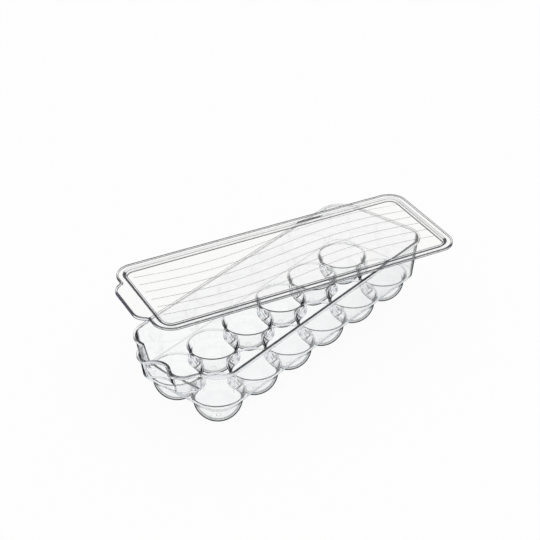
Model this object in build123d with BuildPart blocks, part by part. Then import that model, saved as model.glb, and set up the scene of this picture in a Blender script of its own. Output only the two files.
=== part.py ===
"""Clear egg tray for twelve eggs, with its loose lid lying askew on the rim.

Millimetres, +Z up. The origin is the middle of the plane that the tray stands on. X runs along the
tray, with the handle end at -X, and Y runs across it.
"""
import os
from math import cos, pi, radians, sin

from build123d import *

# Layout of the cups
egg_columns = 6
egg_rows = 2
egg_pitch = 50.0                # from one egg to the next, both ways

# Tray: plate and egg cups
tray_wall = 1.7
plate_thickness = 2.2
bowl_radius = 22.9              # outside of the round bowl
bowl_drop = 8.5                 # from the plate's top down to the middle of the bowl's sphere
mouth_radius = 24.6             # where the mouth's bevelled lip meets the plate
lip_width = 1.0                 # bevel of the lip, measured across
lip_depth = 0.8
gate_radius = 2.4               # flat gate mark that each bowl stands on
gate_height = 0.4

# Saddles: U-shaped webs across the gap between neighbouring bowls
saddle_width = 13.8
saddle_depth = 11.8

# Tray walls, measured inside them at the rim
rim_length = 310.6
rim_width = 110.6
rim_corner = 20.0
rim_height = 40.3               # from the plate's top to the rim's top
wall_draft = 6.65               # degrees
bead_width = 3.1                # from the inside of the wall to the outside of the bead
bead_height = 2.2
bead_round = 0.8                # along the bead's outer top edge

# Handle end: a shallow pocket with two lobes and a finger recess between them
pocket_height = 20.0            # from the plate's top to the pocket's floor
pocket_draft = 12.0             # degrees
root_half = 34.5                # half width where the pocket opens into the tray
shoulder_reach = 14.5           # how far each corner of the outline stands out from the end wall
shoulder_half = 26.8
shoulder_round = 12.0
lobe_reach = 19.2
lobe_half = 16.2
lobe_round = 4.5
recess_reach = 2.8
recess_round = 15.5

# Lid
lid_wall = 1.7
lid_length = 320.8
lid_width = 121.0
lid_corner = 19.0
lid_round = 0.9                 # along the lid's top edge
skirt_height = 2.8              # outer edge of the lid
plug_inset = 6.1                # from the lid's edge to the plug ring, where the ring meets the plate
plug_root = 2.9                 # thickness of the ring at the plate
plug_height = 3.0
plug_outer_draft = 42.0         # degrees that the ring's outside leans in on its way down
plug_inner_draft = 28.0
tab_reach = 10.6                # how far the pull tab stands out past the lid's edge
tab_root_half = 34.0
tab_tip_half = 26.6
tab_round = 14.0
tab_lip = 3.6

# Fine wavy ribs on the lid
rib_count = 6
rib_pitch = 14.1
rib_length = 293.0
rib_width = 1.0
rib_height = 0.25
rib_swing = 7.3                 # how far a rib swings to each side
rib_points = 13                 # along one full wave

# How the lid lies
lid_turn = -23.0                # degrees, seen from above
lid_x = 32.6
lid_y = 22.2
lid_gap = 0.25                  # between the tray's rim and the lid's plug ring

# Heights above the surface that the tray stands on
bowl_middle = gate_height + bowl_radius
plate_top = bowl_middle + bowl_drop
plate_bottom = plate_top - plate_thickness
plate_middle = plate_top - plate_thickness / 2
rim_top = plate_top + rim_height
pocket_floor = plate_top + pocket_height
lid_top = rim_top + lid_gap + plug_height + lid_wall

# Above the bowl's middle both skins of a cup flare, up to the lip of its mouth
cup_radius = bowl_radius - tray_wall
lip_foot = (mouth_radius - lip_width, plate_top - lip_depth)
flare = (lip_foot[0] - cup_radius) / (lip_foot[1] - bowl_middle)
bowl_shoulder = bowl_radius + (plate_middle - bowl_middle) * flare


def rounded_section(plane, length, width, corner):
    """Rounded rectangle on a plane, as one section of a wall."""
    with BuildSketch(plane) as section:
        RectangleRounded(length, width, corner)
    return section.sketch


def pocket_section(plane, spread):
    """Outline of the handle pocket at the rim, spread outwards by a distance."""
    end = -rim_length / 2
    upper = [
        (end + egg_pitch, root_half),
        (end, root_half),
        (end - shoulder_reach, shoulder_half),
        (end - lobe_reach, lobe_half),
    ]
    lower = [(x, -y) for x, y in reversed(upper)]
    rounds = [0, shoulder_round, lobe_round, recess_round, lobe_round, shoulder_round, 0]
    with BuildSketch(plane) as section:
        with BuildLine():
            outline = FilletPolyline(*upper, (end - recess_reach, 0), *lower, radius=rounds)
            Line(outline @ 1, outline @ 0)
        make_face()
        if spread:
            offset(amount=spread)
    return section.sketch


def tab_section(plane, inset):
    """Outline of the lid's pull tab, drawn in from its edge by a distance."""
    edge = -lid_length / 2
    upper = [
        (edge + lid_corner, tab_root_half - inset),
        (edge, tab_root_half - inset),
        (edge - tab_reach + inset, tab_tip_half - inset),
    ]
    lower = [(x, -y) for x, y in reversed(upper)]
    rounds = [0, tab_round - inset, tab_round - inset, 0]
    with BuildSketch(plane) as section:
        with BuildLine():
            outline = FilletPolyline(*upper, *lower, radius=rounds)
            Line(outline @ 1, outline @ 0)
        make_face()
    return section.sketch


# Bowl of one cup, with the gate mark that it stands on
with BuildPart() as bowl:
    with BuildSketch(Plane.XZ):
        with BuildLine():
            CenterArc((0, bowl_middle), bowl_radius, -90, 90)
            Line((bowl_radius, bowl_middle), (bowl_shoulder, plate_middle))
            Line((bowl_shoulder, plate_middle), (0, plate_middle))
            Line((0, plate_middle), (0, bowl_middle - bowl_radius))
        make_face()
    revolve(axis=Axis.Z)
    with BuildSketch(Plane.XY):
        Circle(gate_radius)
    extrude(amount=gate_height + tray_wall / 2)

# Hollow of one cup, with the flare and the bevelled lip of its mouth
with BuildPart() as hollow:
    with BuildSketch(Plane.XZ):
        with BuildLine():
            CenterArc((0, bowl_middle), cup_radius, -90, 90)
            Line((cup_radius, bowl_middle), lip_foot)
            Line(lip_foot, (mouth_radius, plate_top))
            Line((mouth_radius, plate_top), (mouth_radius, plate_top + plate_thickness))
            Line((mouth_radius, plate_top + plate_thickness), (0, plate_top + plate_thickness))
            Line((0, plate_top + plate_thickness), (0, bowl_middle - cup_radius))
        make_face()
    revolve(axis=Axis.Z)

# U-shaped web across the gap between two bowls
with BuildPart() as saddle:
    web_half = egg_pitch / 2 - bowl_radius + 2 * tray_wall
    web_floor = plate_top - saddle_depth
    with BuildSketch(Plane.YZ):
        with BuildLine():
            half = saddle_width / 2
            Line((-half, web_floor + half), (-half, plate_middle))
            Line((-half, plate_middle), (half, plate_middle))
            Line((half, plate_middle), (half, web_floor + half))
            ThreePointArc((half, web_floor + half), (0, web_floor), (-half, web_floor + half))
        make_face()
    extrude(amount=web_half, both=True)

# Egg tray: one moulding
with BuildPart() as tray:
    rim_plane = Plane.XY.offset(rim_top)
    bead_plane = Plane.XY.offset(rim_top - bead_height)
    # Outside of the drafted walls
    extrude(
        rounded_section(
            rim_plane, rim_length + 2 * tray_wall, rim_width + 2 * tray_wall, rim_corner + tray_wall
        ),
        amount=plate_bottom - rim_top,
        taper=wall_draft,
    )
    # Outside of the handle pocket
    extrude(
        pocket_section(rim_plane, tray_wall), amount=pocket_floor - tray_wall - rim_top, taper=pocket_draft
    )
    # Bead along the rim
    extrude(
        rounded_section(
            bead_plane, rim_length + 2 * bead_width, rim_width + 2 * bead_width, rim_corner + bead_width
        ),
        amount=bead_height,
    )
    extrude(pocket_section(bead_plane, bead_width), amount=bead_height)
    # Bowls and saddles under the plate
    with GridLocations(egg_pitch, egg_pitch, egg_columns, egg_rows):
        add(bowl.part)
    with GridLocations(egg_pitch, egg_pitch, egg_columns - 1, egg_rows):
        add(saddle.part)
    with GridLocations(egg_pitch, egg_pitch, egg_columns, egg_rows - 1):
        add(saddle.part, rotation=(0, 0, 90))
    # Inside of the walls, above the plate
    extrude(
        rounded_section(rim_plane, rim_length, rim_width, rim_corner),
        amount=plate_top - rim_top,
        taper=wall_draft,
        mode=Mode.SUBTRACT,
    )
    # Inside of the handle pocket
    extrude(
        pocket_section(rim_plane, 0), amount=pocket_floor - rim_top, taper=pocket_draft, mode=Mode.SUBTRACT
    )
    # Inside of the cups
    with GridLocations(egg_pitch, egg_pitch, egg_columns, egg_rows):
        add(hollow.part, mode=Mode.SUBTRACT)
    # Round along the bead
    fillet(tray.faces().sort_by(Axis.Z)[-1].outer_wire().edges(), radius=bead_round)

# Lid: one moulding, lying askew on the tray's rim
lid_axis = (cos(radians(lid_turn)), sin(radians(lid_turn)), 0)
lid_plane = Plane(origin=(lid_x, lid_y, lid_top), x_dir=lid_axis, z_dir=(0, 0, 1))

with BuildPart() as lid:
    # Plate with its skirt, and the pull tab with its deeper lip
    extrude(rounded_section(lid_plane, lid_length, lid_width, lid_corner), amount=-skirt_height)
    extrude(tab_section(lid_plane, 0), amount=-tab_lip)
    fillet(lid.faces().sort_by(Axis.Z)[-1].outer_wire().edges(), radius=lid_round)
    # Hollow underside
    underside = lid_plane.offset(-lid_wall)
    extrude(
        rounded_section(
            underside, lid_length - 2 * lid_wall, lid_width - 2 * lid_wall, lid_corner - lid_wall
        ),
        amount=-tab_lip,
        mode=Mode.SUBTRACT,
    )
    extrude(tab_section(underside, lid_wall), amount=-tab_lip, mode=Mode.SUBTRACT)
    # Plug ring that drops inside the tray's rim
    root_length = lid_length - 2 * plug_inset
    root_width = lid_width - 2 * plug_inset
    root_corner = lid_corner - plug_inset
    extrude(
        rounded_section(underside, root_length, root_width, root_corner),
        amount=-plug_height,
        taper=plug_outer_draft,
    )
    extrude(
        rounded_section(
            underside, root_length - 2 * plug_root, root_width - 2 * plug_root, root_corner - plug_root
        ),
        amount=-plug_height,
        taper=plug_inner_draft,
        mode=Mode.SUBTRACT,
    )
    # Fine wavy ribs
    with BuildSketch(lid_plane):
        for rib in range(rib_count):
            middle = (rib - (rib_count - 1) / 2) * rib_pitch
            with BuildLine():
                Spline(
                    [
                        (
                            (step / (rib_points - 1) - 0.5) * rib_length,
                            middle + rib_swing * sin(2 * pi * (step / (rib_points - 1) - 0.5)),
                        )
                        for step in range(rib_points)
                    ]
                )
            trace(line_width=rib_width)
    extrude(amount=rib_height)

# Files
tray.part.label = "tray"
lid.part.label = "lid"
os.makedirs("parts", exist_ok=True)
export_step(tray.part, "parts/tray.step")
export_step(lid.part, "parts/lid.step")
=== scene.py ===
"""Clear egg tray with its loose lid: camera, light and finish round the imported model, in metres."""
from math import cos, radians, sin

import bpy
from mathutils import Matrix, Vector


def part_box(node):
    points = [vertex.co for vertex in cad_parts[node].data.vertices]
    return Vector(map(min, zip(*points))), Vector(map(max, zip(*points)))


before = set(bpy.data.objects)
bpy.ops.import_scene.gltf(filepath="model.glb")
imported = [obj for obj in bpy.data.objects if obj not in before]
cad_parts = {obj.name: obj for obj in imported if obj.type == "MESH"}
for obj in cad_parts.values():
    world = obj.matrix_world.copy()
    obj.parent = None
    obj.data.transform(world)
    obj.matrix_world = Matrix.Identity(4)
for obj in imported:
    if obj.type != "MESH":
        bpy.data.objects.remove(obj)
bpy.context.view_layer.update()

UP = (0.0, 0.0, 1.0)
WHITE = (1.0, 1.0, 1.0)

# Camera, as the photograph was taken
PLATE_HEIGHT = 0.0318           # top of the tray's plate, above what the tray stands on
CAMERA_PLACE = Vector((-0.88573, -0.72975, 0.78624 + PLATE_HEIGHT))
CAMERA_TARGET = Vector((0.05717, 0.06505, PLATE_HEIGHT))
CAMERA_ROLL = radians(-0.7927)
LENS_MM = 96.0
SENSOR_MM = 36.0

# White studio with a grey band above the horizon: height of the look direction, and its colour
BAND_COLOR = (0.6, 0.63, 0.68)
SKY = (
    (0.0, WHITE),
    (0.05, WHITE),
    (0.12, BAND_COLOR),
    (0.36, BAND_COLOR),
    (0.46, (0.95, 0.96, 0.97)),
)
WARM_SIDE = (1.0, 0.97, 0.9)    # towards +X

# Grey card on either side of the object
CARD_SIDE = (0.645, -0.765, 0.0)
CARD_EDGE = (0.45, 0.7)         # how squarely a ray looks to one side where the card starts and is full
CARD_LOW = (0.0, 0.06)          # heights of the look direction between which a card fades in
CARD_HIGH = (0.6, 0.75)         # and out again
CARD_COLOR = (0.45, 0.46, 0.5)

# White floor
FLOOR_HALF = 3.0
FLOOR_COLOR = (0.95, 0.95, 0.95)
FLOOR_GLOW = 1.0
FLOOR_GLOW_SHARE = 0.94         # the rest takes the object's shadow

# Clear plastic of both pieces
POLISH = 0.02                   # roughness
POLISH_WEAR = 0.05              # roughness where the polish is dulled
WEAR_SCALE = 45.0
WEAR_DETAIL = 4.0
WEAR_EDGE = (0.45, 0.75)        # values of the noise where the wear starts and is full
WAVE_SCALE = 38.0               # slight waves of the moulding
WAVE_DETAIL = 1.0
WAVE_HEIGHT = 0.00003
ABSORPTION = 14.0               # per metre
ABSORPTION_COLOR = (0.45, 0.5, 0.55)
ROUND_SAMPLES = 4
LEVEL_EDGE = (0.95, 0.995)      # upright share of a skin's normal where its painted shade along the outlines fades and is gone
DEEP_EDGE = (8.0, 10.0)         # bounces of a ray between which it comes to go straight on
LEAVING_COLOR = (0.97, 0.975, 0.98)

# Top face of the lid with its fine ribs, in heights of the lid at rest
RIB_HEIGHT = 0.00025
LID_PLATE_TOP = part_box("lid")[1][2] - RIB_HEIGHT
TOP_EDGE = (LID_PLATE_TOP - 0.00005, LID_PLATE_TOP - 0.00001)
TOP_PAINTED_LINE_SHARE = 0.1            # how strong its painted shade lines are against those elsewhere
TOP_ROUND_SHARE = 0.1           # how far its edges look rounded against those elsewhere

TRAY_LOOK = {
    "tint": (0.99, 0.995, 0.995),
    "painted_shade": (0.02, 0.03, 0.04),     # painted shade: colour of the darkened outlines and edge lines, a diffuse laid in place of the shade that refraction gives
    "refraction": 1.49,
    "edge_round": 0.0006,           # radius by which a sharp edge looks rounded
    "painted_edge_line": 0.8,               # cosine between true and rounded normal where the painted shade lines at edges are full
    "outline": (0.55, 0.8),         # how far a skin turns away from view where its painted shade along the outlines starts and is full
    "guided": 1.0,                  # most reflections that a ray may have had and still be refracted
    "painted_inner_shade": 0.0,              # share of painted shade standing in for what a curved skin reflects inside the plastic
}
LID_LOOK = {
    "tint": (0.99, 0.99, 0.985),
    # the lid's painted shade: its colour, and how its painted edge lines, outlines and inner shade are
    # set
    "painted_shade": (0.1, 0.1, 0.14),
    "refraction": 1.49,
    "edge_round": 0.001,
    "painted_edge_line": 0.875,
    "outline": (0.5, 0.75),
    "guided": 6.0,
    "painted_inner_shade": 1.0,
}


def combine(tree, operation, first, second):
    """Result of a math node on two sockets, or on a socket and a number."""
    node = tree.nodes.new("ShaderNodeMath")
    node.operation = operation
    tree.links.new(first, node.inputs[0])
    if isinstance(second, float):
        node.inputs[1].default_value = second
    else:
        tree.links.new(second, node.inputs[1])
    return node.outputs[0]


def alignment(tree, vector, direction):
    """Size of the dot product of a vector with another one, or with a fixed direction."""
    product = tree.nodes.new("ShaderNodeVectorMath")
    product.operation = "DOT_PRODUCT"
    tree.links.new(vector, product.inputs[0])
    if isinstance(direction, tuple):
        product.inputs[1].default_value = direction
    else:
        tree.links.new(direction, product.inputs[1])
    node = tree.nodes.new("ShaderNodeMath")
    node.operation = "ABSOLUTE"
    tree.links.new(product.outputs["Value"], node.inputs[0])
    return node.outputs[0]


def fade(tree, value, low, high, start=0.0, end=1.0, smooth=False):
    """Value mapped from low..high to start..end, and held outside."""
    node = tree.nodes.new("ShaderNodeMapRange")
    if smooth:
        node.interpolation_type = "SMOOTHSTEP"
    node.inputs["From Min"].default_value = low
    node.inputs["From Max"].default_value = high
    node.inputs["To Min"].default_value = start
    node.inputs["To Max"].default_value = end
    tree.links.new(value, node.inputs["Value"])
    return node.outputs[0]


def split_axes(tree, vector):
    """The X, Y and Z of a vector, by name."""
    node = tree.nodes.new("ShaderNodeSeparateXYZ")
    tree.links.new(vector, node.inputs[0])
    return node.outputs


def noise(tree, scale, detail):
    """Soft noise fixed to the object."""
    coords = tree.nodes.new("ShaderNodeTexCoord")
    node = tree.nodes.new("ShaderNodeTexNoise")
    node.inputs["Scale"].default_value = scale
    node.inputs["Detail"].default_value = detail
    tree.links.new(coords.outputs["Object"], node.inputs["Vector"])
    return node.outputs[0]


def lay_over(tree, color, share, other, mode="MIX"):
    """Colour with a fixed one laid over it by a share."""
    node = tree.nodes.new("ShaderNodeMix")
    node.data_type = "RGBA"
    node.blend_type = mode
    tree.links.new(share, node.inputs["Factor"])
    tree.links.new(color, node.inputs["A"])
    node.inputs["B"].default_value = (*other, 1)
    return node.outputs["Result"]


def plain_shader(tree, kind, color):
    """Shader of a kind that needs no more than a colour."""
    node = tree.nodes.new(kind)
    node.inputs["Color"].default_value = (*color, 1)
    return node.outputs[0]


def mix_shaders(tree, share, first, second):
    """First shader, with the second one in its place by a share."""
    node = tree.nodes.new("ShaderNodeMixShader")
    tree.links.new(share, node.inputs[0])
    tree.links.new(first, node.inputs[1])
    tree.links.new(second, node.inputs[2])
    return node.outputs[0]


def new_material(name):
    """Material with an empty node tree, and that tree."""
    material = bpy.data.materials.new(name)
    material.use_nodes = True
    tree = material.node_tree
    tree.nodes.clear()
    return material, tree


def polished_shader(tree, rounded, look):
    """Polished clear skin with a little wear and slight moulding waves."""
    waves = tree.nodes.new("ShaderNodeBump")
    waves.inputs["Distance"].default_value = WAVE_HEIGHT
    tree.links.new(noise(tree, WAVE_SCALE, WAVE_DETAIL), waves.inputs["Height"])
    tree.links.new(rounded, waves.inputs["Normal"])
    shader = tree.nodes.new("ShaderNodeBsdfPrincipled")
    shader.inputs["Base Color"].default_value = (*look["tint"], 1)
    shader.inputs["IOR"].default_value = look["refraction"]
    shader.inputs["Transmission Weight"].default_value = 1.0
    wear = fade(tree, noise(tree, WEAR_SCALE, WEAR_DETAIL), *WEAR_EDGE, POLISH, POLISH_WEAR)
    tree.links.new(wear, shader.inputs["Roughness"])
    tree.links.new(waves.outputs["Normal"], shader.inputs["Normal"])
    return shader.outputs[0]


def painted_shade_share(tree, place, rounded, top, look):
    """Share of painted shade on a skin: darkened outlines where it is curved, darkened lines at its
    sharp edges, and painted shade for what it loses inside.
    """
    curved = fade(tree, alignment(tree, place.outputs["Normal"], UP), *LEVEL_EDGE, 1.0, 0.0)

    # painted shade along the outlines, from how far the rounded normal turns away from view
    turned = tree.nodes.new("ShaderNodeLayerWeight")
    tree.links.new(rounded, turned.inputs["Normal"])
    outline = fade(tree, turned.outputs["Facing"], *look["outline"], smooth=True)
    outline = combine(tree, "MULTIPLY", outline, curved)

    # painted shade lines at sharp edges, where the rounded normal leaves the true one
    straight = alignment(tree, place.outputs["Normal"], rounded)
    line = fade(tree, straight, look["painted_edge_line"], 1.0, 1.0, 0.0)

    # painted shade where a curved skin reflects light back inside the plastic
    mirrored = tree.nodes.new("ShaderNodeFresnel")
    mirrored.inputs["IOR"].default_value = look["refraction"]
    inside = combine(tree, "MULTIPLY", mirrored.outputs[0], place.outputs["Backfacing"])
    painted_loss = combine(tree, "MULTIPLY", combine(tree, "MULTIPLY", inside, curved), look["painted_inner_shade"])

    painted_shade = combine(tree, "MAXIMUM", combine(tree, "MAXIMUM", outline, line), painted_loss)
    return combine(tree, "MULTIPLY", painted_shade, fade(tree, top, 0.0, 1.0, 1.0, TOP_PAINTED_LINE_SHARE))


def straight_share(tree, look):
    """How far a ray goes straight on, once it has had more reflections or bounces than are shown."""
    path = tree.nodes.new("ShaderNodeLightPath")
    deep = fade(tree, path.outputs["Ray Depth"], *DEEP_EDGE)
    guided = combine(tree, "GREATER_THAN", path.outputs["Glossy Depth"], look["guided"])
    return combine(tree, "MAXIMUM", deep, guided)


def clear_plastic(name, look):
    """Polished clear plastic with painted shade at its outlines and edges, and a faint body tint."""
    material, tree = new_material(name)
    place = tree.nodes.new("ShaderNodeNewGeometry")
    coords = tree.nodes.new("ShaderNodeTexCoord")
    top = fade(tree, split_axes(tree, coords.outputs["Object"])["Z"], *TOP_EDGE)
    rounding = tree.nodes.new("ShaderNodeBevel")
    rounding.samples = ROUND_SAMPLES
    radius = fade(tree, top, 0.0, 1.0, look["edge_round"], look["edge_round"] * TOP_ROUND_SHARE)
    tree.links.new(radius, rounding.inputs["Radius"])
    rounded = rounding.outputs["Normal"]

    clear = polished_shader(tree, rounded, look)
    # near-black diffuse laid on as painted shade at outlines and edges
    painted_shade_shader = plain_shader(tree, "ShaderNodeBsdfDiffuse", look["painted_shade"])
    leaving = plain_shader(tree, "ShaderNodeBsdfTransparent", LEAVING_COLOR)
    with_painted_shade = mix_shaders(tree, painted_shade_share(tree, place, rounded, top, look), clear, painted_shade_shader)
    whole = mix_shaders(tree, straight_share(tree, look), with_painted_shade, leaving)
    body = tree.nodes.new("ShaderNodeVolumeAbsorption")
    body.inputs["Color"].default_value = (*ABSORPTION_COLOR, 1)
    body.inputs["Density"].default_value = ABSORPTION
    out = tree.nodes.new("ShaderNodeOutputMaterial")
    tree.links.new(whole, out.inputs["Surface"])
    tree.links.new(body.outputs[0], out.inputs["Volume"])
    return material


def finish_piece(node, material):
    """Give a piece its one material."""
    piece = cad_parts[node]
    piece.data.materials.clear()
    piece.data.materials.append(material)


def add_camera():
    """Camera at the photograph's place, with its slight roll."""
    data = bpy.data.cameras.new("camera")
    data.lens = LENS_MM
    data.sensor_width = SENSOR_MM
    camera = bpy.data.objects.new("camera", data)
    bpy.context.scene.collection.objects.link(camera)
    forward = (CAMERA_TARGET - CAMERA_PLACE).normalized()
    right = forward.cross(Vector(UP)).normalized()
    up = right.cross(forward)
    tilted_right = right * cos(CAMERA_ROLL) + up * sin(CAMERA_ROLL)
    tilted_up = up * cos(CAMERA_ROLL) - right * sin(CAMERA_ROLL)
    turn = Matrix((tilted_right, tilted_up, -forward)).transposed()
    camera.matrix_world = Matrix.Translation(CAMERA_PLACE) @ turn.to_4x4()
    bpy.context.scene.camera = camera


def add_world():
    """White for the camera. Other rays see a grey band, a grey card on either side and a warm side."""
    world = bpy.data.worlds.new("studio")
    world.use_nodes = True
    tree = world.node_tree
    tree.nodes.clear()
    sight = tree.nodes.new("ShaderNodeTexCoord").outputs["Generated"]
    axes = split_axes(tree, sight)
    ramp = tree.nodes.new("ShaderNodeValToRGB")
    stops = ramp.color_ramp.elements
    for stop, (height, color) in zip(stops, (SKY[0], SKY[-1])):
        stop.position = height
        stop.color = (*color, 1)
    for height, color in SKY[1:-1]:
        stops.new(height).color = (*color, 1)
    tree.links.new(axes["Z"], ramp.inputs[0])
    sky = lay_over(tree, ramp.outputs[0], fade(tree, axes["X"], 0.0, 1.0), WARM_SIDE, "MULTIPLY")

    card = fade(tree, alignment(tree, sight, CARD_SIDE), *CARD_EDGE)
    card = combine(tree, "MULTIPLY", card, fade(tree, axes["Z"], *CARD_LOW))
    card = combine(tree, "MULTIPLY", card, fade(tree, axes["Z"], *CARD_HIGH, 1.0, 0.0))
    sky = lay_over(tree, sky, card, CARD_COLOR)

    path = tree.nodes.new("ShaderNodeLightPath")
    background = tree.nodes.new("ShaderNodeBackground")
    tree.links.new(lay_over(tree, sky, path.outputs["Is Camera Ray"], WHITE), background.inputs["Color"])
    out = tree.nodes.new("ShaderNodeOutputWorld")
    tree.links.new(background.outputs[0], out.inputs["Surface"])
    bpy.context.scene.world = world


def shown_share(tree):
    """1 for rays from the camera and for rays that gloss or clear plastic sends on."""
    path = tree.nodes.new("ShaderNodeLightPath")
    direct = combine(tree, "MAXIMUM", path.outputs["Is Camera Ray"], path.outputs["Is Glossy Ray"])
    return combine(tree, "MAXIMUM", direct, path.outputs["Is Transmission Ray"])


def add_floor():
    """Plain floor that shows white and still takes the object's shadow."""
    mesh = bpy.data.meshes.new("floor")
    corners = [(x * FLOOR_HALF, y * FLOOR_HALF, 0) for x, y in ((-1, -1), (1, -1), (1, 1), (-1, 1))]
    mesh.from_pydata(corners, [], [(0, 1, 2, 3)])
    floor = bpy.data.objects.new("floor", mesh)
    bpy.context.scene.collection.objects.link(floor)
    material, tree = new_material("white_floor")
    paint = plain_shader(tree, "ShaderNodeBsdfDiffuse", FLOOR_COLOR)
    glow = tree.nodes.new("ShaderNodeEmission")
    glow.inputs["Strength"].default_value = FLOOR_GLOW
    share = combine(tree, "MULTIPLY", shown_share(tree), FLOOR_GLOW_SHARE)
    out = tree.nodes.new("ShaderNodeOutputMaterial")
    tree.links.new(mix_shaders(tree, share, paint, glow.outputs[0]), out.inputs["Surface"])
    mesh.materials.append(material)


add_camera()
add_world()
add_floor()
finish_piece("tray", clear_plastic("tray_plastic", TRAY_LOOK))
finish_piece("lid", clear_plastic("lid_plastic", LID_LOOK))

bpy.context.scene.view_settings.view_transform = "Standard"
